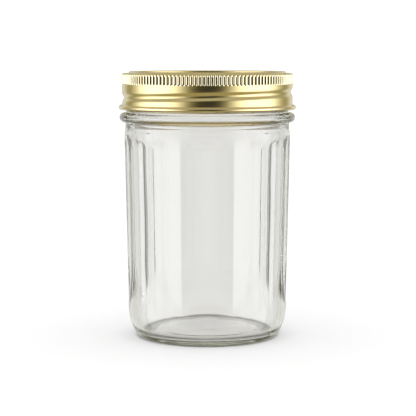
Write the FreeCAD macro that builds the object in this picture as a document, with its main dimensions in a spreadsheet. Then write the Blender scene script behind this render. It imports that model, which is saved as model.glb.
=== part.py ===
"""Home-canning jar with a two-piece closure, as a parametric FreeCAD document.

Four pieces: the glass jar, the flat lid, the ring of sealing compound under the lid, and the screw band.
Units are millimetres. +Z is up, the jar's axis is the Z axis and the surface that it stands on is Z = 0.
"""
import FreeCAD, Part
import math
import os

import Sketcher

# ------------------------------------------------------------------ driving dimensions (millimetres)

SIZES = {
    # glass body, outside
    "bearing_inner_radius": 26.0,  # the flat ring that the jar stands on
    "bearing_outer_radius": 28.45,
    "toe_radius": 2.0,  # small round between the bearing ring and the heel
    "toe_top_radius": 30.14,
    "toe_height": 0.94,
    "heel_bend_radius": 22.0,  # large round from the toe up to the wall
    "heel_height": 12.7,
    "wall_low_radius": 33.55,  # the wall widens upward from the heel to the shoulder
    "wall_high_radius": 35.0,
    "wall_high_level": 80.5,
    "shoulder_radius": 34.7,
    "shoulder_level": 87.0,
    "collar_radius": 34.5,
    # flat panels round the wall
    "panel_count": 10,
    "panel_low_distance": 32.05,  # from the axis to a panel's face at heel_height
    "panel_high_distance": 33.45,  # the same at panel_high_level
    "panel_high_level": 80.0,
    "panel_arch_radius": 12.0,
    "panel_foot_radius": 60.0,
    "panel_width": 23.0,
    # neck and finish
    "bead_level": 92.78,  # bead that the jar is carried by when it is made
    "bead_radius": 37.0,
    "bead_round": 1.9,
    "neck_radius": 34.1,
    "thread_root_radius": 33.6,
    "rim_level": 109.9,
    "rim_outer_radius": 32.4,
    "rim_inner_radius": 30.9,
    "rim_round": 0.9,
    # glass body, inside
    "mouth_radius": 30.0,
    "inside_high_radius": 31.2,
    "inside_low_radius": 30.2,
    "inside_turn_radius": 28.99,  # the inside follows the heel's round down to here
    "inside_turn_level": 5.5,
    "inside_corner_radius": 4.31,
    "inside_floor_radius": 24.92,
    "inside_floor_level": 2.6,
    "inside_step_radius": 20.0,  # the middle of the inside floor stands a little higher
    "inside_step_width": 2.0,
    "inside_step_rise": 0.4,
    "push_up_height": 1.2,  # hollow under the base
    "push_up_flat_radius": 19.5,
    "push_up_edge_height": 0.5,
    # thread, right-handed: the band's rolled groove and the glass thread above it
    "thread_pitch": 5.08,
    "glass_thread_crest": 35.25,
    "glass_thread_half": 1.4,
    "thread_gap": 2.15,  # from the middle of the band's ridge up to the middle of the glass thread
    "groove_level": 103.5,  # middle of the band's groove on the +X side
    "groove_depth": 1.04,
    "groove_half": 1.6,
    # screw band
    "band_radius": 35.92,
    "band_sheet": 0.32,
    "knurl_radius": 36.0,
    "knurl_low_level": 106.9,
    "knurl_high_level": 110.0,
    "knurl_count": 135,
    "knurl_depth": 0.37,
    "knurl_tool_radius": 0.72,
    "flange_level": 111.25,
    "flange_under_level": 110.95,
    "hem_level": 112.0,  # top of the whole object
    "hem_inner_radius": 31.6,
    "hem_width": 1.1,
    "curl_level": 97.0,
    "curl_radius": 37.35,
    "curl_round": 0.95,
    # lid
    "lid_sheet": 0.25,
    "lid_radius": 34.85,
    "lid_top_level": 110.9,
    "lid_rim_drop": 1.35,
    "lid_channel_inner_radius": 29.6,
    "lid_panel_radius": 29.0,
    "lid_panel_drop": 0.9,
    "lid_centre_radius": 22.0,
    "lid_centre_rise": 0.35,
    # sealing ring
    "seal_inner_radius": 30.4,
    "seal_outer_radius": 34.2,
    "seal_gap": 0.05,
}

# Angles about the Z axis from +X, in degrees, counter-clockwise seen from above.
GROOVE_START, GROOVE_TURN = -275.0, 370.0
RIDGE_OVERRUN = 4.0  # the ridge inside the band runs this far past both ends of the groove outside
GLASS_THREAD_START, GLASS_THREAD_TURN = -330.0, 440.0


class Size:
    """A length with its value and the sheet expression that drives it."""

    def __init__(self, text, value):
        self.text = text
        self.value = value

    @staticmethod
    def of(number):
        return number if isinstance(number, Size) else Size(repr(float(number)), float(number))

    def __add__(self, other):
        other = Size.of(other)
        return Size(f"({self.text} + {other.text})", self.value + other.value)

    def __sub__(self, other):
        other = Size.of(other)
        return Size(f"({self.text} - {other.text})", self.value - other.value)

    def __mul__(self, factor):
        return Size(f"({self.text} * {float(factor)!r})", self.value * factor)


doc = FreeCAD.newDocument("MasonJar")
sheet = doc.addObject("Spreadsheet::Sheet", "Sizes")
for row, (alias, number) in enumerate(SIZES.items(), start=1):
    sheet.set(f"A{row}", alias)
    sheet.set(f"B{row}", str(number))
    sheet.setAlias(f"B{row}", alias)
doc.recompute()


def size(alias):
    """The sheet's cell of that name."""
    return Size(f"Sizes.{alias}", float(sheet.get(alias)))


# ------------------------------------------------------------------------------------ helpers


def new_body(label):
    body = doc.addObject("PartDesign::Body", label)
    body.Label = label
    return body


def origin_feature(body, role):
    return next(f for f in body.Origin.OriginFeatures if f.Role == role)


def new_sketch(body, name, plane="XZ_Plane", turn=0.0):
    """A sketch on one of the body's own planes, turned about the Z axis by turn degrees."""
    sketch = body.newObject("Sketcher::SketchObject", name)
    sketch.AttachmentSupport = [(origin_feature(body, plane), "")]
    sketch.MapMode = "FlatFace"
    if turn:
        about_z = FreeCAD.Rotation(FreeCAD.Vector(0, 1, 0), turn)
        sketch.AttachmentOffset = FreeCAD.Placement(FreeCAD.Vector(), about_z)
    return sketch


def arc_between(start, end, radius):
    """The short arc from start to end. It turns left for a positive radius, and right for a negative one."""
    chord = end - start
    side = math.copysign(1.0, radius)
    left = FreeCAD.Vector(-chord.y, chord.x, 0).normalize()
    reach = math.sqrt(radius * radius - chord.Length * chord.Length / 4)
    centre = (start + end) * 0.5 + left * (side * reach)
    ends = (start, end) if side > 0 else (end, start)
    angles = [math.atan2(p.y - centre.y, p.x - centre.x) for p in ends]
    circle = Part.Circle(centre, FreeCAD.Vector(0, 0, 1), abs(radius))
    return Part.ArcOfCircle(circle, *angles)


def drive(sketch, index, name, length):
    """Names a constraint and binds it to its sheet expression."""
    sketch.renameConstraint(index, name)
    sketch.setExpression(f"Constraints.{name}", length.text)


def outline(sketch, path):
    """A closed outline. Each step is (x, y) or (x, y, radius), the radius of the arc to the next point."""
    steps = [(Size.of(x), Size.of(y), Size.of(radius[0]) if radius else None) for x, y, *radius in path]
    points = [FreeCAD.Vector(x.value, y.value, 0) for x, y, _ in steps]
    starts = []
    for i, (_, _, radius) in enumerate(steps):
        start, end = points[i], points[(i + 1) % len(points)]
        if radius is None:
            sketch.addGeometry(Part.LineSegment(start, end))
        else:
            sketch.addGeometry(arc_between(start, end, radius.value))
        starts.append(1 if radius is None or radius.value > 0 else 2)
    for i in range(len(steps)):
        after = (i + 1) % len(steps)
        sketch.addConstraint(Sketcher.Constraint("Coincident", i, 3 - starts[i], after, starts[after]))
    for i, (x, y, radius) in enumerate(steps):
        for kind, axis, length in (("DistanceX", -2, x), ("DistanceY", -1, y)):
            if length.value == 0:
                sketch.addConstraint(Sketcher.Constraint("PointOnObject", i, starts[i], axis))
                continue
            index = sketch.addConstraint(Sketcher.Constraint(kind, -1, 1, i, starts[i], length.value))
            drive(sketch, index, f"{kind[-1].lower()}{i}", length)
        if radius is not None:
            index = sketch.addConstraint(Sketcher.Constraint("Radius", i, abs(radius.value)))
            drive(sketch, index, f"bend{i}", radius if radius.value > 0 else radius * -1)


def revolve(body, name, path):
    """Turns an outline in the XZ plane once round the Z axis."""
    sketch = new_sketch(body, f"{name}_outline")
    outline(sketch, path)
    turned = body.newObject("PartDesign::Revolution", name)
    turned.Profile = sketch
    turned.ReferenceAxis = (sketch, ["V_Axis"])
    turned.Angle = 360.0
    sketch.Visibility = False
    doc.recompute()
    return turned


def polar_copies(body, name, feature, count_alias):
    """Repeats a feature round the Z axis."""
    pattern = body.newObject("PartDesign::PolarPattern", name)
    pattern.Originals = [feature]
    pattern.Axis = (origin_feature(body, "Z_Axis"), [""])
    pattern.Angle = 360.0
    pattern.setExpression("Occurrences", f"Sizes.{count_alias}")
    body.Tip = pattern
    doc.recompute()
    return pattern


def helix(body, kind, name, path, start, turn):
    """Sweeps an outline along the thread's helix, from the angle start through turn degrees."""
    sketch = new_sketch(body, f"{name}_outline", turn=start)
    outline(sketch, path)
    swept = body.newObject(f"PartDesign::{kind}", name)
    swept.Profile = sketch
    swept.ReferenceAxis = (sketch, ["V_Axis"])
    swept.Mode = "pitch-turns-angle"
    swept.setExpression("Pitch", "Sizes.thread_pitch")
    swept.Turns = turn / 360.0
    swept.LeftHanded = False
    swept.Reversed = False
    doc.recompute()
    return swept


def rise(angle):
    """How far the thread climbs between the +X side and an angle in degrees."""
    return size("thread_pitch") * (angle / 360.0)


def lens(root, crest, level, half):
    """Outline of a thread: a flat root at one radius, and an arc out or in to its crest."""
    height = abs(crest.value - root.value)
    bend = (half.value ** 2 + height ** 2) / (2 * height)
    side = math.copysign(bend, crest.value - root.value)
    return [(root, level - half, side), (root, level + half)]


# ------------------------------------------------------------------------------------ glass jar


def glass_jar():
    body = new_body("glass_jar")
    bead_centre = size("bead_radius") - size("bead_round")
    bead_low = size("bead_level") - size("bead_round")
    bead_high = size("bead_level") + size("bead_round")
    rim = size("rim_level")
    floor = size("inside_floor_level")
    step = size("inside_step_radius")
    outside = [
        (0, size("push_up_height")),
        (size("push_up_flat_radius"), size("push_up_height")),
        (size("bearing_inner_radius") - 1.3, size("push_up_edge_height")),
        (size("bearing_inner_radius"), 0),
        (size("bearing_outer_radius"), 0, size("toe_radius")),
        (size("toe_top_radius"), size("toe_height"), size("heel_bend_radius")),
        (size("wall_low_radius"), size("heel_height")),
        (size("wall_high_radius"), size("wall_high_level"), 40.0),
        (size("shoulder_radius"), size("shoulder_level")),
        (size("collar_radius"), size("shoulder_level") + 0.5),
        (size("collar_radius"), bead_low - 0.5, -0.5),
        (size("collar_radius") + 0.5, bead_low),
        (bead_centre, bead_low, size("bead_round")),
        (size("bead_radius"), size("bead_level"), size("bead_round")),
        (bead_centre, bead_high),
        (size("neck_radius") + 0.5, bead_high, -0.5),
        (size("neck_radius"), bead_high + 0.5),
        (size("neck_radius"), size("curl_level") - 0.4),
        (size("thread_root_radius"), size("curl_level") + 0.4),
        (size("thread_root_radius"), rim - size("rim_round") * 2),
        (size("rim_outer_radius") + size("rim_round") * 0.8, rim - size("rim_round"), size("rim_round")),
        (size("rim_outer_radius"), rim),
    ]
    inside = [
        (size("rim_inner_radius"), rim, size("rim_round")),
        (size("mouth_radius"), rim - size("rim_round")),
        (size("mouth_radius"), size("curl_level") + 1.0, -14.0),
        (size("mouth_radius") + 0.75, size("bead_level"), 14.0),
        (size("inside_high_radius"), size("shoulder_level")),
        (size("inside_low_radius"), size("heel_height"), size("heel_bend_radius") * -1),
        (size("inside_turn_radius"), size("inside_turn_level"), size("inside_corner_radius") * -1),
        (size("inside_floor_radius"), floor),
        (step + size("inside_step_width"), floor),
        (step, floor + size("inside_step_rise")),
        (0, floor + size("inside_step_rise")),
    ]
    revolve(body, "blown_shell", outside + inside)

    panel = new_sketch(body, "panel_outline", plane="YZ_Plane")
    reach = size("bead_radius") + 3.0
    arch_out = 2.7
    arch_up = math.sqrt(SIZES["panel_arch_radius"] ** 2 - (SIZES["panel_arch_radius"] - arch_out) ** 2)
    outline(
        panel,
        [
            (size("panel_low_distance") - 1.05, 1.5, size("panel_foot_radius")),
            (size("panel_low_distance"), size("heel_height")),
            (size("panel_high_distance"), size("panel_high_level"), size("panel_arch_radius") * -1),
            (size("panel_high_distance") + arch_out, size("panel_high_level") + arch_up),
            (reach, size("panel_high_level") + arch_up),
            (reach, 1.5),
        ],
    )
    whole = body.Tip.Shape.Volume
    flat = body.newObject("PartDesign::Pocket", "flat_panel")
    flat.Profile = panel
    flat.Type = "Length"
    flat.SideType = "Symmetric"
    flat.setExpression("Length", "Sizes.panel_width")
    doc.recompute()
    polar_copies(body, "flat_panels", flat, "panel_count")
    if body.Tip.Shape.Volume > whole * 0.99:
        raise ValueError("the panels cut nothing from the wall")

    middle = size("groove_level") + size("thread_gap") + rise(GLASS_THREAD_START)
    root = size("thread_root_radius") - 0.1
    profile = lens(root, size("glass_thread_crest"), middle, size("glass_thread_half"))
    helix(body, "AdditiveHelix", "glass_thread", profile, GLASS_THREAD_START, GLASS_THREAD_TURN)
    return body


# ---------------------------------------------------------------------------------- screw band


def screw_band():
    body = new_body("screw_band")
    inner = size("band_radius") - size("band_sheet")
    knurl_inner = inner - 0.35
    under = size("flange_under_level")
    top = size("flange_level")
    curl_centre = size("curl_radius") - size("curl_round")
    hem = size("hem_inner_radius")
    corner = 0.8
    shell = [
        (inner, size("curl_level") - 0.51),
        (curl_centre, size("curl_level") - size("curl_round"), size("curl_round")),
        (size("curl_radius"), size("curl_level"), size("curl_round")),
        (size("band_radius"), size("curl_level") + 0.82),
        (size("band_radius"), size("knurl_low_level") - 0.4),
        (size("knurl_radius"), size("knurl_low_level") - 0.2),
        (size("knurl_radius"), top - corner, corner),
        (size("knurl_radius") - corner, top),
        (hem + size("hem_width") + 0.8, top, -1.2),
        (hem + size("hem_width"), size("hem_level")),
        (hem + 0.5, size("hem_level"), 0.5),
        (hem, size("hem_level") - 0.5),
        (hem, under),
        (knurl_inner - 0.5, under, -0.5),
        (knurl_inner, under - 0.5),
        (knurl_inner, size("knurl_low_level")),
        (inner, size("knurl_low_level") - 0.5),
    ]
    revolve(body, "drawn_shell", shell)

    ridge_start = GROOVE_START - RIDGE_OVERRUN
    ridge_turn = GROOVE_TURN + 2 * RIDGE_OVERRUN
    crest = size("band_radius") - size("groove_depth") + 0.18
    ridge = lens(
        inner + 0.15,
        crest - size("band_sheet"),
        size("groove_level") + rise(ridge_start),
        size("groove_half") + 0.15,
    )
    helix(body, "AdditiveHelix", "thread_ridge", ridge, ridge_start, ridge_turn)
    before = body.Tip.Shape.Volume
    groove = lens(
        size("band_radius") + 0.18,
        crest,
        size("groove_level") + rise(GROOVE_START),
        size("groove_half"),
    )
    helix(body, "SubtractiveHelix", "thread_groove", groove, GROOVE_START, GROOVE_TURN)
    if body.Tip.Shape.Volume >= before:
        raise ValueError("the thread groove cut nothing from the band")

    flute = new_sketch(body, "flute_outline", plane="XY_Plane")
    flute.setExpression("AttachmentOffset.Base.z", "Sizes.knurl_low_level")
    place = size("knurl_radius") - size("knurl_depth") + size("knurl_tool_radius")
    tool = size("knurl_tool_radius")
    flute.addGeometry(Part.Circle(FreeCAD.Vector(place.value, 0, 0), FreeCAD.Vector(0, 0, 1), tool.value))
    flute.addConstraint(Sketcher.Constraint("PointOnObject", 0, 3, -1))
    across = flute.addConstraint(Sketcher.Constraint("DistanceX", -1, 1, 0, 3, place.value))
    drive(flute, across, "place", place)
    bend = flute.addConstraint(Sketcher.Constraint("Radius", 0, tool.value))
    drive(flute, bend, "tool", tool)
    before = body.Tip.Shape.Volume
    cut = body.newObject("PartDesign::Pocket", "flute")
    cut.Profile = flute
    cut.Type = "Length"
    cut.Reversed = True
    cut.setExpression("Length", "Sizes.knurl_high_level - Sizes.knurl_low_level")
    doc.recompute()
    if body.Tip.Shape.Volume >= before:
        raise ValueError("the flute cut nothing from the band")
    polar_copies(body, "flutes", cut, "knurl_count")
    return body


# ------------------------------------------------------------------------------- lid and seal


def lid_disc():
    body = new_body("lid_disc")
    sheet_gauge = size("lid_sheet")
    top = size("lid_top_level")
    channel = size("lid_channel_inner_radius")
    panel_edge = size("lid_panel_radius")
    panel_top = top - size("lid_panel_drop")
    centre = size("lid_centre_radius")
    centre_top = panel_top + size("lid_centre_rise")
    rim_low = top - size("lid_rim_drop")
    upper = [
        (0, centre_top),
        (0, centre_top - sheet_gauge),
        (centre, centre_top - sheet_gauge),
        (centre + 0.7, panel_top - sheet_gauge),
        (panel_edge, panel_top - sheet_gauge),
        (channel, top - sheet_gauge),
        (size("lid_radius") - sheet_gauge, top - sheet_gauge),
        (size("lid_radius") - sheet_gauge, rim_low),
        (size("lid_radius"), rim_low),
        (size("lid_radius"), top - 0.4, 0.4),
        (size("lid_radius") - 0.4, top),
        (channel - 0.15, top),
        (panel_edge - 0.15, panel_top),
        (centre + 0.7, panel_top),
        (centre, centre_top),
    ]
    revolve(body, "stamped_disc", upper)
    return body


def sealing_ring():
    body = new_body("sealing_ring")
    top = size("lid_top_level") - size("lid_sheet")
    low = size("rim_level") + size("seal_gap")
    inner = size("seal_inner_radius")
    outer = size("seal_outer_radius")
    round_off = 0.35
    section = [
        (inner, top),
        (inner, low + round_off, round_off),
        (inner + round_off, low),
        (outer - round_off, low, round_off),
        (outer, low + round_off),
        (outer, top),
    ]
    revolve(body, "flowed_ring", section)
    return body


# --------------------------------------------------------------------------------- check, write


def check_document():
    """Stops if any object failed, because recompute doesn't."""
    for item in doc.Objects:
        faults = [state for state in item.State if state in ("Invalid", "Error")]
        if faults:
            raise ValueError(f"{item.Label}: {', '.join(faults)}")


def write_parts(bodies):
    os.makedirs("parts", exist_ok=True)
    for body in bodies:
        shape = body.Shape
        if shape.isNull() or not shape.isValid() or len(shape.Solids) != 1:
            raise ValueError(f"{body.Label} isn't one valid solid")
        shape.exportStep(f"parts/{body.Label}.step")
        box = shape.BoundBox
        print(
            f"{body.Label}: {shape.Volume / 1000:.2f} ml, radius {box.XMax:.2f}, "
            f"Z {box.ZMin:.2f} to {box.ZMax:.2f}"
        )


pieces = [glass_jar(), lid_disc(), sealing_ring(), screw_band()]
doc.recompute()
check_document()
write_parts(pieces)
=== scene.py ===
"""A closed canning jar: faceted glass, gold-lacquered lid and screw band, on a white studio floor."""
import math

import bpy
import numpy as np
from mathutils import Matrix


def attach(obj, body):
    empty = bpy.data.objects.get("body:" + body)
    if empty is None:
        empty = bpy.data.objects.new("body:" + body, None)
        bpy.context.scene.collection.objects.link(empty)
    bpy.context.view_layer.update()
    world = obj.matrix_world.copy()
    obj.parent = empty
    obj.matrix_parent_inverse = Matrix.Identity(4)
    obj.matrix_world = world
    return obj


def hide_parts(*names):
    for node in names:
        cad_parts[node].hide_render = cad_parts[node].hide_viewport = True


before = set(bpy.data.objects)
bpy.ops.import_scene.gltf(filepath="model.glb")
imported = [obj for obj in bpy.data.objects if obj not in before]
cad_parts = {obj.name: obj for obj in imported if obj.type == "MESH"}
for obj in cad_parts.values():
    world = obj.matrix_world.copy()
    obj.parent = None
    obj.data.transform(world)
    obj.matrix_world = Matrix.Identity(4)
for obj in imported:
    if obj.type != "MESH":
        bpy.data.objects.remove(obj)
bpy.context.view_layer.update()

MM = 0.001
TAU = 2 * math.pi

# ------------------------------------------------------------------ sizes, in millimetres

PANELS = 10
BEARING_INNER, BEARING_OUTER, BEARING_EDGE = 26.0, 28.45, 1.3
TOE_TOP, TOE_HEIGHT, TOE_ROUND = 30.14, 0.94, 2.0
WALL_LOW, HEEL_HEIGHT, HEEL_BEND = 33.55, 12.7, 22.0
WALL_HIGH, WALL_HIGH_LEVEL = 35.0, 80.5
SHOULDER, SHOULDER_LEVEL, SHOULDER_BEND = 34.7, 87.0, 40.0
COLLAR, COLLAR_ROUND = 34.5, 0.5  # and how the corners above and below the bead are rounded
PANEL_LOW, PANEL_HIGH, PANEL_HIGH_LEVEL = 32.05, 33.45, 80.0
PANEL_TOP, PANEL_TOP_END = 80.0, 87.5  # a panel fades out into the round wall between these levels
PANEL_DEPTH, PANEL_FOOT, PANEL_FOOT_END = 1.55, 33.0, 13.0  # below the foot a panel gets shallower
PANEL_EASE, PANEL_EASE_END, PANEL_THIN = 1.6, 0.8, 0.001  # how a panel levels off at the depth it may have
RIDGE_SOFTNESS = 0.6  # how widely the glass rounds over where a panel meets a ridge
BEAD_LEVEL, BEAD, BEAD_ROUND = 92.78, 37.0, 1.9
NECK, NECK_SLOPE, THREAD_ROOT = 34.1, 0.4, 33.6
RIM_LEVEL, RIM_OUTER, RIM_INNER, RIM_ROUND, RIM_LEAN = 109.9, 32.4, 30.9, 0.9, 0.8
MOUTH, MOUTH_SWELL, MOUTH_BEND, MOUTH_END = 30.0, 0.75, 14.0, 1.0  # MOUTH_END is above the curl's level
INSIDE_HIGH, INSIDE_LOW = 31.2, 30.2
# the inside follows the heel down to this turn
INSIDE_TURN, INSIDE_TURN_LEVEL, INSIDE_CORNER = 28.99, 5.5, 4.31
INSIDE_FLOOR, INSIDE_FLOOR_LEVEL = 24.92, 2.6
INSIDE_STEP, INSIDE_STEP_WIDTH, INSIDE_STEP_RISE = 20.0, 2.0, 0.4  # the middle of the floor is higher
PUSH_UP, PUSH_UP_FLAT, PUSH_UP_EDGE = 1.2, 19.5, 0.5

PITCH = 5.08
THREAD_FADE = 38.0  # degrees of turn in which a thread fades in, and out
GROOVE_LEVEL = 103.5
GROOVE_START, GROOVE_TURN = -275.0, 370.0
GROOVE_DEPTH, GROOVE_HALF, GROOVE_INSIDE = 0.86, 2.1, 0.12  # the groove's ridge inside is this much wider
GROOVE_LOW_GAP, GROOVE_HIGH_GAP = 0.7, 0.1  # plain wall kept above the curl and below the knurl
GLASS_THREAD_RISE = 2.15
GLASS_THREAD_START, GLASS_THREAD_TURN = -330.0, 440.0
GLASS_THREAD_CREST, GLASS_THREAD_HALF, GLASS_THREAD_SOFTNESS = 35.25, 1.4, 0.3
# the glass thread's foot below the root, how far it sinks where it fades out, and the plain glass at its ends
GLASS_THREAD_SINK, GLASS_THREAD_DROP, GLASS_THREAD_GAP = 0.1, 1, 0.5

BAND, SHEET, CORNER = 35.92, 0.32, 0.8
KNURL, KNURL_LOW, KNURL_HIGH, KNURLS, KNURL_DEPTH = 36.0, 106.9, 110.0, 135, 0.45
# the knurl's sheet is thicker than the wall's; it starts over a short slope, and its flutes deepen gradually
KNURL_THICKER, KNURL_SHOULDER, KNURL_RUN_IN, KNURL_RUN_OUT, KNURL_REACH = 0.35, 0.2, 0.25, 0.4, 0.7
# one tooth and half the flute on each side: places round it, and the share of the depth each lies down
TOOTH_PHASES = [-104.0, -84.0, -42.0, 0.0, 42.0, 84.0, 104.0, 180.0]  # in degrees of one tooth's pitch
TOOTH_DROPS = [1, 0.15, 0.03, 0, 0.03, 0.15, 1, 1]
FLANGE, FLANGE_UNDER = 111.25, 110.95
HEM_LEVEL, HEM_INNER, HEM_WIDTH, HEM_ROUND, HEM_BEND = 112.0, 31.6, 1.1, 0.5, 1.2
CURL_LEVEL, CURL, CURL_ROUND, CURL_INSIDE, CURL_TOP = 97.0, 37.35, 0.95, 0.51, 0.82

LID, LID_TOP, LID_SHEET, LID_RIM_DROP, LID_ROUND = 34.85, 110.9, 0.25, 1.35, 0.4
LID_CHANNEL, LID_PANEL, LID_PANEL_DROP, LID_STEP_IN = 29.6, 29.0, 0.9, 0.15
LID_CENTRE, LID_CENTRE_RISE, LID_CENTRE_SLOPE = 22.0, 0.35, 0.7
SEAL_INNER, SEAL_OUTER, SEAL_GAP, SEAL_ROUND = 30.4, 34.2, 0.05, 0.35

# ------------------------------------------------------------------ how finely the meshes are divided

# millimetres between points along an outline
BASE_SPACING, WALL_SPACING, SHOULDER_SPACING, BORE_SPACING, INNER_BASE_SPACING = 0.8, 3.0, 0.36, 2.5, 1.0
BAND_SPACING, BAND_INSIDE_SPACING, LID_SPACING, SEAL_SPACING = 0.42, 0.9, 0.6, 0.3
ARC_STEPS, ARC_STEPS_PER_RADIAN = 3, 4 / math.pi  # the fewest along an arc
# points round the axis
PANEL_POINTS, LID_POINTS, SEAL_POINTS, FLOOR_POINTS = 36, 240, 180, 96
EVEN_SHARE, CROWDED_SHARE = 0.3, 0.7  # how the points of a panel are shared out: evenly, and towards ridges
ON_AXIS = 1e-6  # a smaller radius than this is a point on the axis
FAR_AWAY = 1e9  # a height above the thread where there is none

# ------------------------------------------------------------------ looks: colours and textures

GLASS_TINT, GLASS_IOR, GLASS_COAT = (0.972, 0.968, 0.962), 1.52, 0.6
GLASS_THROUGH, GLASS_DENSITY = (0.51, 0.54, 0.43), 25.0  # colour of light that has passed through much glass
GLASS_BLOOM, GLASS_BLOOM_RANGE, GLASS_ROUGHEST = 25.0, (0.45, 0.75), 0.012
GLASS_RIPPLE, GLASS_RIPPLE_STRETCH, GLASS_RIPPLE_DEPTH, GLASS_RIPPLE_STRENGTH = 70.0, (1, 1, 0.5), 0.0004, 0.3

GOLD, GOLD_PALE, GOLD_CLOUDS = (0.93, 0.765, 0.35), (0.87, 0.73, 0.39), 90.0
GOLD_COAT, GOLD_COAT_ROUGHNESS = 0.6, 0.15
GOLD_DRAWN, GOLD_DRAWN_STRETCH, GOLD_DRAWN_RANGE = 30.0, (1, 1, 40), (0.25, 0.75)
GOLD_SMOOTHEST, GOLD_ROUGHEST = 0.18, 0.25
GOLD_DRAWN_DEPTH, GOLD_DRAWN_STRENGTH = 0.00002, 0.25
KNURL_THIN, KNURL_THIN_GRAIN, KNURL_POLISH, KNURL_ZONE_EDGE = (0.95, 0.92, 0.80), 400.0, 0.5, 0.3
# painted shade in the recesses between teeth: full, and gone, at these depths below a tooth's top
KNURL_PAINTED_SHADE, KNURL_PAINTED_SHADE_FULL, KNURL_PAINTED_SHADE_NONE = (0.14, 0.11, 0.04), 0.44, 0.34
RUBBED, RUBBED_GRAIN, RUBBED_WIDTH, RUBBED_MOST = (0.95, 0.90, 0.72), 200.0, 0.2, 0.6

COMPOUND, COMPOUND_DARK, COMPOUND_GRAIN = (0.55, 0.20, 0.11), (0.42, 0.13, 0.07), 260.0
COMPOUND_RANGE, COMPOUND_SMOOTHEST, COMPOUND_ROUGHEST = (0.3, 0.7), 0.38, 0.55
COMPOUND_PITS, COMPOUND_PIT_DEPTH, COMPOUND_PIT_STRENGTH = 1500.0, 0.00005, 0.4

# ------------------------------------------------------------------ studio: brightness and the way it falls

CAMERA_PLACE, CAMERA_TILT = (0.0003, -0.630, 0.120), 5.97  # metres, and degrees down
LENS, SENSOR = 128.9, 36.0
CLIP_START, CLIP_END = 0.01, 20.0
CLEAR_BOUNCES, GLOSSY_BOUNCES = 32, 16

FLOOR, FLOOR_MIDDLE = 95.0, 31.0
FLOOR_LEVEL = -0.05
FLOOR_WHITE, FLOOR_ROUGHNESS = 0.6, 0.9
# how much the floor glows at each distance from the middle: glow that lifts the jar's shadow, and a painted
# contact shadow where it glows least, round the ring that the jar stands on
FLOOR_GLOW_AND_PAINTED_SHADOW = [(0, 0.40), (26.0, 0.40), (28.2, 0.06), (29.2, 0.06), (31.0, 0.36), (40.0, 0.424)]
SWEEP = 1.06  # the white sweep, a little over full white
TABLE, CEILING, CEILING_FRONT = (0.34, 0.31, 0.19), (0.46, 0.45, 0.40), (0.04, 0.035, 0.02)
# heights, on a unit sphere, between which the walls give way to the table below and the ceiling above
TABLE_RANGE, CEILING_RANGE = (-0.30, -0.75), (0.22, 0.60)
# depths, on the same sphere, between which the dark ceiling over the photographer gives way to the lit one
CEILING_DEPTH = (-0.88, -0.60)
# against red, how much green and blue the dimmest light has, and how fast they come up with its brightness
GREEN_LEFT, GREEN_RISE, BLUE_LEFT, BLUE_RISE = 0.93, 0.1, 0.30, 0.9
# degrees round from the photographer's side, and the brightness met there
REFLECTED_STOPS = [
    (0, 0.01),
    (13, 0.01),
    (24, 0.18),
    (34, 0.70),
    (46, 1.50),
    (56, 2.05),
    (88, 2.05),
    (96, 1.70),
    (105, 1.00),
    (115, 0.56),
    (125, 0.30),
    (134, 0.34),
    (148, 0.72),
    (162, 0.72),
    (172, 0.42),
]
REFRACTED_STOPS = [
    (0, 0.90),
    (60, 0.88),
    (71, 0.35),
    (82, 0.84),
    (103.5, 0.84),
    (105.5, 0.04),
    (110, 0.03),
    (112.5, 0.80),
    (124, 0.88),
    (180, 0.93),
]

# ------------------------------------------------------------------ mesh helpers


def smooth_min(a, b, width):
    """The lower of a and b, rounded over where they cross."""
    mix = np.clip(0.5 + 0.5 * (b - a) / width, 0, 1)
    return b * (1 - mix) + a * mix - width * mix * (1 - mix)


def smooth_max(a, b, width):
    return -smooth_min(-a, -b, width)


def smooth_step(low, high, value):
    x = np.clip((value - low) / (high - low), 0, 1)
    return x * x * (3 - 2 * x)


def trace(path, spacing):
    """Points along an outline of (radius, level, bend) steps.

    bend is the radius of the arc to the next point, to the left if positive, and 0 for a straight line.
    """
    points = []
    for (r0, z0, bend), (r1, z1, _) in zip(path, path[1:]):
        start, end = np.array([r0, z0]), np.array([r1, z1])
        chord = end - start
        length = np.hypot(*chord)
        steps = max(1, math.ceil(length / spacing))
        if not bend:
            points += [start + chord * i / steps for i in range(steps)]
            continue
        left = np.array([-chord[1], chord[0]]) / length
        centre = (start + end) / 2 + left * math.copysign(math.sqrt(bend * bend - length * length / 4), bend)
        first = math.atan2(*(start - centre)[::-1])
        last = math.atan2(*(end - centre)[::-1])
        turn = (last - first) % TAU if bend > 0 else -((first - last) % TAU)
        steps = max(ARC_STEPS, math.ceil(abs(turn) * max(abs(bend) / spacing, ARC_STEPS_PER_RADIAN)))
        for i in range(steps):
            angle = first + turn * i / steps
            points.append(centre + abs(bend) * np.array([math.cos(angle), math.sin(angle)]))
    return points + [np.array(path[-1][:2])]


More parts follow.
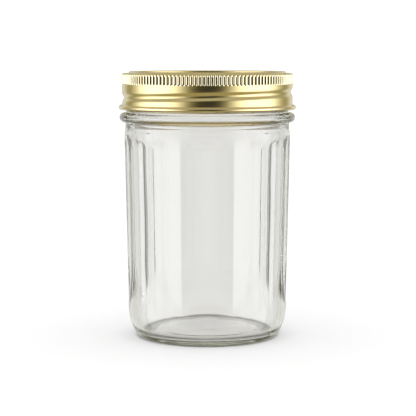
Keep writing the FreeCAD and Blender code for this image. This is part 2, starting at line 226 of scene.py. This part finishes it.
def lathe(name, rows, angles, closed=False):
    """A mesh from rows of points round the Z axis.

    Each row is (radii, levels), where either is one value or one for each angle.
    """
    count = len(angles)
    cos, sin = np.cos(angles), np.sin(angles)
    verts, faces, start = [], [], []
    for radii, levels in rows:
        start.append(len(verts))
        if np.ndim(radii) == 0 and radii < ON_AXIS:
            verts.append((0.0, 0.0, float(np.mean(levels))))
            continue
        radii, levels = np.broadcast_to(radii, count), np.broadcast_to(levels, count)
        verts += list(zip(radii * cos, radii * sin, levels))
    start.append(len(verts))
    links = [(i, i + 1) for i in range(len(rows) - 1)]
    if closed:
        links.append((len(rows) - 1, 0))
    for low, high in links:
        a, b = start[low], start[high]
        a_one = start[low + 1] - a == 1
        b_one = start[high + 1] - b == 1
        for i in range(count):
            j = (i + 1) % count
            if a_one:
                faces.append((a, b + j, b + i))
            elif b_one:
                faces.append((a + i, a + j, b))
            else:
                faces.append((a + i, a + j, b + j, b + i))
    mesh = bpy.data.meshes.new(name)
    mesh.from_pydata([tuple(c * MM for c in v) for v in verts], [], faces)
    mesh.validate()
    mesh.shade_smooth()
    piece = bpy.data.objects.new(name, mesh)
    bpy.context.scene.collection.objects.link(piece)
    return piece


def helix_offset(angles, level, start_deg, turn_deg, centre_level):
    """Height above the nearest turn of a thread, and how far the thread has faded in there, from 0 to 1."""
    degrees = np.degrees(angles)
    best = np.full(len(angles), FAR_AWAY)
    fade = np.zeros(len(angles))
    for lap in range(-2, 3):
        along = degrees + 360 * lap
        offset = level - (centre_level + PITCH * along / 360)
        near = np.abs(offset) < np.abs(best)
        amount = smooth_step(start_deg, start_deg + THREAD_FADE, along)
        amount = amount * (1 - smooth_step(start_deg + turn_deg - THREAD_FADE, start_deg + turn_deg, along))
        use = near & (amount > 0)
        best = np.where(use, offset, best)
        fade = np.where(use, amount, fade)
    return best, fade


# ------------------------------------------------------------------ glass


def panel_distance(level):
    """How far a flat panel's face is from the axis at a level. Below the wall it follows the heel's curve."""
    slope = (PANEL_HIGH - PANEL_LOW) / (PANEL_HIGH_LEVEL - HEEL_HEIGHT)
    if level < HEEL_HEIGHT:
        return PANEL_LOW - (HEEL_BEND - math.sqrt(HEEL_BEND ** 2 - (HEEL_HEIGHT - level) ** 2))
    return PANEL_LOW + slope * (level - HEEL_HEIGHT)


def glass_angles():
    """Angles round the jar, closest together at the ridges."""
    half = math.pi / PANELS
    steps = np.linspace(-1, 1, PANEL_POINTS, endpoint=False)
    spread = half * (EVEN_SHARE * steps + CROWDED_SHARE * np.sin(steps * math.pi / 2))
    return np.concatenate([spread - math.pi / 2 + 2 * half * k for k in range(PANELS)])


def glass_profile():
    """The jar's outline without panels or thread, and how many of its points are on the outside."""
    bead_in = BEAD - BEAD_ROUND
    bead_low, bead_high = BEAD_LEVEL - BEAD_ROUND, BEAD_LEVEL + BEAD_ROUND
    base = [
        (0, PUSH_UP, 0),
        (PUSH_UP_FLAT, PUSH_UP, 0),
        (BEARING_INNER - BEARING_EDGE, PUSH_UP_EDGE, 0),
        (BEARING_INNER, 0, 0),
        (BEARING_OUTER, 0, TOE_ROUND),
        (TOE_TOP, TOE_HEIGHT, HEEL_BEND),
        (WALL_LOW, HEEL_HEIGHT, 0),
    ]
    wall = [(WALL_LOW, HEEL_HEIGHT, 0), (WALL_HIGH, WALL_HIGH_LEVEL, 0)]
    shoulder = [
        (WALL_HIGH, WALL_HIGH_LEVEL, SHOULDER_BEND),
        (SHOULDER, SHOULDER_LEVEL, 0),
        (COLLAR, SHOULDER_LEVEL + COLLAR_ROUND, 0),
        (COLLAR, bead_low - COLLAR_ROUND, -COLLAR_ROUND),
        (COLLAR + COLLAR_ROUND, bead_low, 0),
        (bead_in, bead_low, BEAD_ROUND),
        (BEAD, BEAD_LEVEL, BEAD_ROUND),
        (bead_in, bead_high, 0),
        (NECK + COLLAR_ROUND, bead_high, -COLLAR_ROUND),
        (NECK, bead_high + COLLAR_ROUND, 0),
        (NECK, CURL_LEVEL - NECK_SLOPE, 0),
        (THREAD_ROOT, CURL_LEVEL + NECK_SLOPE, 0),
        (THREAD_ROOT, RIM_LEVEL - RIM_ROUND * 2, 0),
        (RIM_OUTER + RIM_ROUND * RIM_LEAN, RIM_LEVEL - RIM_ROUND, RIM_ROUND),
        (RIM_OUTER, RIM_LEVEL, 0),
        (RIM_INNER, RIM_LEVEL, RIM_ROUND),
        (MOUTH, RIM_LEVEL - RIM_ROUND, 0),
    ]
    bore = [
        (MOUTH, RIM_LEVEL - RIM_ROUND, 0),
        (MOUTH, CURL_LEVEL + MOUTH_END, -MOUTH_BEND),
        (MOUTH + MOUTH_SWELL, BEAD_LEVEL, MOUTH_BEND),
        (INSIDE_HIGH, SHOULDER_LEVEL, 0),
        (INSIDE_LOW, HEEL_HEIGHT, 0),
    ]
    inner_base = [
        (INSIDE_LOW, HEEL_HEIGHT, -HEEL_BEND),
        (INSIDE_TURN, INSIDE_TURN_LEVEL, -INSIDE_CORNER),
        (INSIDE_FLOOR, INSIDE_FLOOR_LEVEL, 0),
        (INSIDE_STEP + INSIDE_STEP_WIDTH, INSIDE_FLOOR_LEVEL, 0),
        (INSIDE_STEP, INSIDE_FLOOR_LEVEL + INSIDE_STEP_RISE, 0),
        (0, INSIDE_FLOOR_LEVEL + INSIDE_STEP_RISE, 0),
    ]
    outside = trace(base, BASE_SPACING)[:-1] + trace(wall, WALL_SPACING)[:-1]
    outside += trace(shoulder, SHOULDER_SPACING)[:-1]
    inside = trace(bore, BORE_SPACING)[:-1] + trace(inner_base, INNER_BASE_SPACING)
    return outside + inside, len(outside)


def panelled(radius, level, from_panel):
    """The wall's radii at a level, with the panels pressed in.

    from_panel is each point's angle from the middle of its panel.
    """
    flat = panel_distance(level) / np.cos(from_panel)
    pressed = smooth_min(np.full(len(from_panel), radius), flat, RIDGE_SOFTNESS)
    depth = (radius - pressed) * (1 - smooth_step(PANEL_TOP, PANEL_TOP_END, level))
    deepest = PANEL_DEPTH * smooth_step(PANEL_FOOT_END, PANEL_FOOT, level)
    eased = deepest * (1 - np.exp(-depth / max(deepest, PANEL_THIN) * PANEL_EASE)) / PANEL_EASE_END
    return radius - np.minimum(depth, eased)


def threaded(radius, level, angles):
    """The finish's radii at a level, with the glass thread raised on it."""
    middle = GROOVE_LEVEL + GLASS_THREAD_RISE
    offset, fade = helix_offset(angles, level, GLASS_THREAD_START, GLASS_THREAD_TURN, middle)
    height = GLASS_THREAD_CREST - THREAD_ROOT + GLASS_THREAD_SINK
    bend = (GLASS_THREAD_HALF ** 2 + height ** 2) / (2 * height)
    crest = GLASS_THREAD_CREST - bend + np.sqrt(np.maximum(bend ** 2 - offset ** 2, 0))
    sunk = THREAD_ROOT - GLASS_THREAD_DROP
    crest = sunk + (crest - THREAD_ROOT + GLASS_THREAD_DROP) * fade
    return smooth_max(np.full(len(angles), radius), crest, GLASS_THREAD_SOFTNESS)


def build_glass():
    angles = glass_angles()
    sector = 2 * math.pi / PANELS
    from_panel = (angles + math.pi / 2 + sector / 2) % sector - sector / 2
    thread_low, thread_high = CURL_LEVEL + GLASS_THREAD_GAP, RIM_LEVEL - GLASS_THREAD_GAP
    profile, outer_count = glass_profile()
    rows = []
    for index, (radius, level) in enumerate(profile):
        radii = radius
        outer = index < outer_count
        if outer and PANEL_FOOT_END < level < PANEL_TOP_END:
            radii = panelled(radius, level, from_panel)
        elif outer and radius > RIM_OUTER and thread_low < level < thread_high:
            radii = threaded(radius, level, angles)
        rows.append((radii, level))
    return lathe("glass_body", rows, angles)


# ------------------------------------------------------------------ band


def band_profile():
    """The band's outline without groove or knurl, and how many of its points are on the outside."""
    inner = BAND - SHEET
    knurl_inner = inner - KNURL_THICKER
    outer = [
        (inner, CURL_LEVEL - CURL_INSIDE, CURL_ROUND),
        (CURL - CURL_ROUND, CURL_LEVEL - CURL_ROUND, CURL_ROUND),
        (CURL, CURL_LEVEL, CURL_ROUND),
        (BAND, CURL_LEVEL + CURL_TOP, 0),
        (BAND, KNURL_LOW - KNURL_RUN_OUT, 0),
        (KNURL, KNURL_LOW - KNURL_SHOULDER, 0),
        (KNURL, FLANGE - CORNER, CORNER),
        (KNURL - CORNER, FLANGE, 0),
        (HEM_INNER + HEM_WIDTH + CORNER, FLANGE, -HEM_BEND),
        (HEM_INNER + HEM_WIDTH, HEM_LEVEL, 0),
        (HEM_INNER + HEM_ROUND, HEM_LEVEL, HEM_ROUND),
        (HEM_INNER, HEM_LEVEL - HEM_ROUND, 0),
        (HEM_INNER, FLANGE_UNDER, 0),
    ]
    inside = [
        (HEM_INNER, FLANGE_UNDER, 0),
        (knurl_inner - HEM_ROUND, FLANGE_UNDER, -HEM_ROUND),
        (knurl_inner, FLANGE_UNDER - HEM_ROUND, 0),
        (knurl_inner, KNURL_LOW, 0),
        (inner, KNURL_LOW - HEM_ROUND, 0),
        (inner, CURL_LEVEL - CURL_INSIDE, 0),
    ]
    outside = trace(outer, BAND_SPACING)[:-1]
    return outside + trace(inside, BAND_INSIDE_SPACING)[:-1], len(outside)


def build_band():
    angles = np.radians(np.add.outer(np.arange(KNURLS) * 360, TOOTH_PHASES).ravel() / KNURLS)
    flute = np.tile(TOOTH_DROPS, KNURLS)
    groove_low, groove_high = CURL_LEVEL + GROOVE_LOW_GAP, KNURL_LOW - GROOVE_HIGH_GAP
    knurl_low, knurl_full = KNURL_LOW - KNURL_SHOULDER, KNURL_LOW + KNURL_RUN_IN
    profile, outer_count = band_profile()
    rows = []
    for index, (radius, level) in enumerate(profile):
        radii = np.full(len(angles), radius)
        outer = index < outer_count
        if groove_low < level < groove_high:
            offset, fade = helix_offset(angles, level, GROOVE_START, GROOVE_TURN, GROOVE_LEVEL)
            half = GROOVE_HALF if outer else GROOVE_HALF + GROOVE_INSIDE
            press = np.where(np.abs(offset) < half, 0.5 + 0.5 * np.cos(offset / half * math.pi), 0)
            radii = radii - GROOVE_DEPTH * press * fade
        if outer and radius > KNURL - KNURL_REACH and knurl_low < level < FLANGE:
            window = smooth_step(knurl_low, knurl_full, level)
            window *= 1 - smooth_step(KNURL_HIGH, FLANGE, level)
            radii = radii - KNURL_DEPTH * flute * window
        rows.append((radii, level))
    return lathe("threaded_band", rows, angles, closed=True)


# ------------------------------------------------------------------ lid and seal


def build_lid():
    angles = np.arange(LID_POINTS) * TAU / LID_POINTS
    panel_top = LID_TOP - LID_PANEL_DROP
    centre_top = panel_top + LID_CENTRE_RISE
    section = [
        (0, centre_top - LID_SHEET, 0),
        (LID_CENTRE, centre_top - LID_SHEET, 0),
        (LID_CENTRE + LID_CENTRE_SLOPE, panel_top - LID_SHEET, 0),
        (LID_PANEL, panel_top - LID_SHEET, 0),
        (LID_CHANNEL, LID_TOP - LID_SHEET, 0),
        (LID - LID_SHEET, LID_TOP - LID_SHEET, 0),
        (LID - LID_SHEET, LID_TOP - LID_RIM_DROP, 0),
        (LID, LID_TOP - LID_RIM_DROP, 0),
        (LID, LID_TOP - LID_ROUND, LID_ROUND),
        (LID - LID_ROUND, LID_TOP, 0),
        (LID_CHANNEL - LID_STEP_IN, LID_TOP, 0),
        (LID_PANEL - LID_STEP_IN, panel_top, 0),
        (LID_CENTRE + LID_CENTRE_SLOPE, panel_top, 0),
        (LID_CENTRE, centre_top, 0),
        (0, centre_top, 0),
    ]
    rows = [(radius, level) for radius, level in trace(section, LID_SPACING)]
    return lathe("flat_lid", rows, angles)


def build_seal():
    angles = np.arange(SEAL_POINTS) * TAU / SEAL_POINTS
    top = LID_TOP - LID_SHEET
    low = RIM_LEVEL + SEAL_GAP
    section = [
        (SEAL_INNER, top, 0),
        (SEAL_INNER, low + SEAL_ROUND, SEAL_ROUND),
        (SEAL_INNER + SEAL_ROUND, low, 0),
        (SEAL_OUTER - SEAL_ROUND, low, SEAL_ROUND),
        (SEAL_OUTER, low + SEAL_ROUND, 0),
        (SEAL_OUTER, top, 0),
        (SEAL_INNER, top, 0),
    ]
    rows = [(radius, level) for radius, level in trace(section, SEAL_SPACING)[:-1]]
    return lathe("compound_ring", rows, angles, closed=True)


# ------------------------------------------------------------------ materials


def new_material(name):
    material = bpy.data.materials.new(name)
    material.use_nodes = True
    return material, material.node_tree, material.node_tree.nodes["Principled BSDF"]


def add(tree, kind, **values):
    node = tree.nodes.new(kind)
    for key, value in values.items():
        setattr(node, key, value)
    return node


def noise(tree, scale, detail=3.0, stretch=(1, 1, 1)):
    """Noise over a piece's own coordinates, as a value from 0 to 1."""
    place = add(tree, "ShaderNodeTexCoord")
    mapping = add(tree, "ShaderNodeMapping")
    mapping.inputs["Scale"].default_value = stretch
    tree.links.new(place.outputs["Object"], mapping.inputs["Vector"])
    grain = add(tree, "ShaderNodeTexNoise")
    grain.inputs["Scale"].default_value = scale
    grain.inputs["Detail"].default_value = detail
    tree.links.new(mapping.outputs[0], grain.inputs["Vector"])
    return grain.outputs["Fac"]


def remap(tree, value, limits, low, high):
    node = add(tree, "ShaderNodeMapRange", interpolation_type="SMOOTHSTEP")
    node.inputs["From Min"].default_value, node.inputs["From Max"].default_value = limits
    node.inputs["To Min"].default_value, node.inputs["To Max"].default_value = low, high
    tree.links.new(value, node.inputs["Value"])
    return node.outputs[0]


def ramp(tree, value, stops):
    """A colour read off a scale of (place, colour) stops."""
    node = add(tree, "ShaderNodeValToRGB")
    while len(node.color_ramp.elements) < len(stops):
        node.color_ramp.elements.new(0.5)
    for element, (place, colour) in zip(node.color_ramp.elements, stops):
        element.position = place
        element.color = (*colour, 1)
    tree.links.new(value, node.inputs[0])
    return node.outputs[0]


def multiply(tree, first, second):
    node = add(tree, "ShaderNodeMath", operation="MULTIPLY")
    tree.links.new(first, node.inputs[0])
    tree.links.new(second, node.inputs[1])
    return node.outputs[0]


def blend_colours(tree, factor, first, second):
    """A colour between two others. Each is a plain colour or a socket."""
    node = add(tree, "ShaderNodeMix", data_type="RGBA")
    tree.links.new(factor, node.inputs["Factor"])
    for socket, colour in ((node.inputs[6], first), (node.inputs[7], second)):
        if isinstance(colour, tuple):
            socket.default_value = (*colour, 1)
        else:
            tree.links.new(colour, socket)
    return node.outputs[2]


def bump(tree, shader, height, distance, strength):
    node = add(tree, "ShaderNodeBump")
    node.inputs["Distance"].default_value = distance
    node.inputs["Strength"].default_value = strength
    tree.links.new(height, node.inputs["Height"])
    tree.links.new(node.outputs[0], shader.inputs["Normal"])


def glass_material():
    """Pressed soda-lime glass: clear, faintly green in the thick parts, its surface not quite even."""
    material, tree, shader = new_material("clear_flint_glass")
    shader.inputs["Base Color"].default_value = (*GLASS_TINT, 1)
    shader.inputs["IOR"].default_value = GLASS_IOR
    shader.inputs["Transmission Weight"].default_value = 1.0
    shader.inputs["Coat Weight"].default_value = GLASS_COAT
    shader.inputs["Coat Roughness"].default_value = 0.0
    bloom = remap(tree, noise(tree, GLASS_BLOOM), GLASS_BLOOM_RANGE, 0.0, GLASS_ROUGHEST)
    tree.links.new(bloom, shader.inputs["Roughness"])
    ripple = noise(tree, GLASS_RIPPLE, 1.0, GLASS_RIPPLE_STRETCH)
    bump(tree, shader, ripple, GLASS_RIPPLE_DEPTH, GLASS_RIPPLE_STRENGTH)
    absorb = add(tree, "ShaderNodeVolumeAbsorption")
    absorb.inputs["Color"].default_value = (*GLASS_THROUGH, 1)
    absorb.inputs["Density"].default_value = GLASS_DENSITY
    tree.links.new(absorb.outputs["Volume"], tree.nodes["Material Output"].inputs["Volume"])
    return material


def gold_material(name, knurled=False):
    """Gold lacquer over tinplate: satin and finely drawn.

    A knurled piece is polished and thinly lacquered on its teeth, has painted shade between them and is
    rubbed on its curl.
    """
    material, tree, shader = new_material(name)
    shader.inputs["Metallic"].default_value = 1.0
    shader.inputs["Coat Weight"].default_value = GOLD_COAT
    shader.inputs["Coat Roughness"].default_value = GOLD_COAT_ROUGHNESS
    colour = blend_colours(tree, noise(tree, GOLD_CLOUDS, 5.0), GOLD, GOLD_PALE)
    drawn = noise(tree, GOLD_DRAWN, 4.0, GOLD_DRAWN_STRETCH)
    roughness = remap(tree, drawn, GOLD_DRAWN_RANGE, GOLD_SMOOTHEST, GOLD_ROUGHEST)
    if knurled:
        place = add(tree, "ShaderNodeTexCoord")
        split = add(tree, "ShaderNodeSeparateXYZ")
        tree.links.new(place.outputs["Object"], split.inputs[0])
        flat = add(tree, "ShaderNodeVectorMath", operation="MULTIPLY")
        flat.inputs[1].default_value = (1, 1, 0)
        tree.links.new(place.outputs["Object"], flat.inputs[0])
        length = add(tree, "ShaderNodeVectorMath", operation="LENGTH")
        tree.links.new(flat.outputs[0], length.inputs[0])
        level, radius = split.outputs["Z"], length.outputs["Value"]
        foot = ((KNURL_LOW - KNURL_ZONE_EDGE) * MM, KNURL_LOW * MM)
        head = ((FLANGE - CORNER) * MM, (FLANGE - CORNER + KNURL_ZONE_EDGE) * MM)
        zone = multiply(tree, remap(tree, level, foot, 0.0, 1.0), remap(tree, level, head, 1.0, 0.0))
        # painted shade that darkens the knurl's recesses, deepest between the teeth
        deep = ((KNURL - KNURL_PAINTED_SHADE_FULL) * MM, (KNURL - KNURL_PAINTED_SHADE_NONE) * MM)
        painted_recess_shade = multiply(tree, zone, remap(tree, radius, deep, 1.0, 0.0))
        thin = multiply(tree, zone, noise(tree, KNURL_THIN_GRAIN))
        colour = blend_colours(tree, thin, colour, KNURL_THIN)
        colour = blend_colours(tree, painted_recess_shade, colour, KNURL_PAINTED_SHADE)
        roughness = multiply(tree, roughness, remap(tree, zone, (0.0, 1.0), 1.0, KNURL_POLISH))
        curl = ((CURL - RUBBED_WIDTH) * MM, CURL * MM)
        rubbed = multiply(tree, remap(tree, radius, curl, 0.0, RUBBED_MOST), noise(tree, RUBBED_GRAIN))
        colour = blend_colours(tree, rubbed, colour, RUBBED)
    tree.links.new(colour, shader.inputs["Base Color"])
    tree.links.new(roughness, shader.inputs["Roughness"])
    bump(tree, shader, drawn, GOLD_DRAWN_DEPTH, GOLD_DRAWN_STRENGTH)
    return material


def compound_material():
    """Soft sealing compound: matt, slightly mottled."""
    material, tree, shader = new_material("sealing_compound")
    mottle = noise(tree, COMPOUND_GRAIN, 4.0)
    tree.links.new(blend_colours(tree, mottle, COMPOUND, COMPOUND_DARK), shader.inputs["Base Color"])
    roughness = remap(tree, mottle, COMPOUND_RANGE, COMPOUND_SMOOTHEST, COMPOUND_ROUGHEST)
    tree.links.new(roughness, shader.inputs["Roughness"])
    bump(tree, shader, noise(tree, COMPOUND_PITS), COMPOUND_PIT_DEPTH, COMPOUND_PIT_STRENGTH)
    return material


# ------------------------------------------------------------------ pieces

glass = build_glass()
glass.data.materials.append(glass_material())
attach(glass, "jar")
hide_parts("glass_jar")

band = build_band()
band.data.materials.append(gold_material("gold_lacquer_band", knurled=True))
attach(band, "band")
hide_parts("screw_band")

lid = build_lid()
lid.data.materials.append(gold_material("gold_lacquer_lid"))
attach(lid, "lid")
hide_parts("lid_disc")

seal = build_seal()
seal.data.materials.append(compound_material())
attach(seal, "lid")
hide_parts("sealing_ring")

# ------------------------------------------------------------------ studio


def build_floor():
    """A round white floor that runs on into the white backdrop. The glass shows only its middle."""
    angles = np.arange(FLOOR_POINTS) * TAU / FLOOR_POINTS
    middle = lathe("studio_floor", [(0.0, FLOOR_LEVEL), (FLOOR_MIDDLE, FLOOR_LEVEL)], angles)
    surround = lathe("studio_floor_surround", [(FLOOR_MIDDLE, FLOOR_LEVEL), (FLOOR, FLOOR_LEVEL)], angles)
    surround.visible_transmission = False
    material, tree, shader = new_material("white_sweep")
    shader.inputs["Base Color"].default_value = (FLOOR_WHITE, FLOOR_WHITE, FLOOR_WHITE, 1)
    shader.inputs["Roughness"].default_value = FLOOR_ROUGHNESS
    shader.inputs["Specular IOR Level"].default_value = 0.0
    place = add(tree, "ShaderNodeTexCoord")
    away = add(tree, "ShaderNodeVectorMath", operation="LENGTH")
    tree.links.new(place.outputs["Object"], away.inputs[0])
    part = add(tree, "ShaderNodeMath", operation="DIVIDE")
    part.inputs[1].default_value = FLOOR * MM
    tree.links.new(away.outputs["Value"], part.inputs[0])
    # the floor's glow is painted light that fills in the jar's shadow, with a painted contact shadow round
    # the jar's foot
    stops = [(radius / FLOOR, (glow, glow, glow)) for radius, glow in FLOOR_GLOW_AND_PAINTED_SHADOW]
    tree.links.new(ramp(tree, part.outputs[0], stops), shader.inputs["Emission Color"])
    shader.inputs["Emission Strength"].default_value = 1.0
    for floor in (middle, surround):
        floor.visible_glossy = False  # reflections meet the studio's walls
        floor.data.materials.append(material)


def sky_colour(level):
    """The studio's light at a brightness. Its shadows are warm."""
    green = level * min(1, GREEN_LEFT + GREEN_RISE * level)
    blue = level * min(1, BLUE_LEFT + BLUE_RISE * level)
    return level, green, blue


def sky_ramp(tree, turn, stops):
    """Light by direction round the jar, from 0 towards the photographer's side to 1 behind the jar."""
    return ramp(tree, turn, [(degrees / 180, sky_colour(level)) for degrees, level in stops])


def build_world():
    """White backdrop, with a bright wall on each side and a dark photographer's side in the reflections."""
    world = bpy.data.worlds.new("studio")
    world.use_nodes = True
    bpy.context.scene.world = world
    tree = world.node_tree
    tree.nodes.clear()
    link = tree.links.new
    coords = add(tree, "ShaderNodeTexCoord")
    split = add(tree, "ShaderNodeSeparateXYZ")
    link(coords.outputs["Generated"], split.inputs[0])
    flip = add(tree, "ShaderNodeMath", operation="MULTIPLY")
    flip.inputs[1].default_value = -1.0
    link(split.outputs["Y"], flip.inputs[0])
    side = add(tree, "ShaderNodeMath", operation="ABSOLUTE")
    link(split.outputs["X"], side.inputs[0])
    azimuth = add(tree, "ShaderNodeMath", operation="ARCTAN2")
    link(side.outputs[0], azimuth.inputs[0])
    link(flip.outputs[0], azimuth.inputs[1])
    turn = add(tree, "ShaderNodeMath", operation="DIVIDE")
    turn.inputs[1].default_value = math.pi
    link(azimuth.outputs[0], turn.inputs[0])
    path = add(tree, "ShaderNodeLightPath")

    def background(colour):
        node = add(tree, "ShaderNodeBackground")
        if isinstance(colour, tuple):
            node.inputs["Color"].default_value = (*colour, 1)
        else:
            link(colour, node.inputs["Color"])
        return node.outputs[0]

    def choose(factor, no, yes):
        node = add(tree, "ShaderNodeMixShader")
        link(factor, node.inputs[0])
        link(no, node.inputs[1])
        link(yes, node.inputs[2])
        return node.outputs[0]

    def between(axis, limits):
        return remap(tree, split.outputs[axis], limits, 0.0, 1.0)

    plain = background((SWEEP, SWEEP, SWEEP))
    walls = background(sky_ramp(tree, turn.outputs[0], REFLECTED_STOPS))
    ceiling = choose(between("Y", CEILING_DEPTH), background(CEILING_FRONT), background(CEILING))
    reflected = choose(between("Z", TABLE_RANGE), walls, background(TABLE))
    reflected = choose(between("Z", CEILING_RANGE), reflected, ceiling)
    refracted = background(sky_ramp(tree, turn.outputs[0], REFRACTED_STOPS))
    glossy = choose(path.outputs["Is Glossy Ray"], plain, reflected)
    out = add(tree, "ShaderNodeOutputWorld")
    link(choose(path.outputs["Is Transmission Ray"], glossy, refracted), out.inputs["Surface"])


def build_camera():
    data = bpy.data.cameras.new("camera")
    camera = bpy.data.objects.new("camera", data)
    bpy.context.scene.collection.objects.link(camera)
    bpy.context.scene.camera = camera
    data.sensor_width = SENSOR
    data.lens = LENS
    camera.location = CAMERA_PLACE
    camera.rotation_euler = (math.pi / 2 - math.radians(CAMERA_TILT), 0, 0)
    data.clip_start = CLIP_START
    data.clip_end = CLIP_END


build_floor()
build_world()
build_camera()
bpy.context.scene.view_settings.view_transform = "Standard"
bpy.context.scene.view_settings.look = "None"
bounces = bpy.context.scene.cycles
bounces.max_bounces = CLEAR_BOUNCES
bounces.transmission_bounces = CLEAR_BOUNCES
bounces.glossy_bounces = GLOSSY_BOUNCES
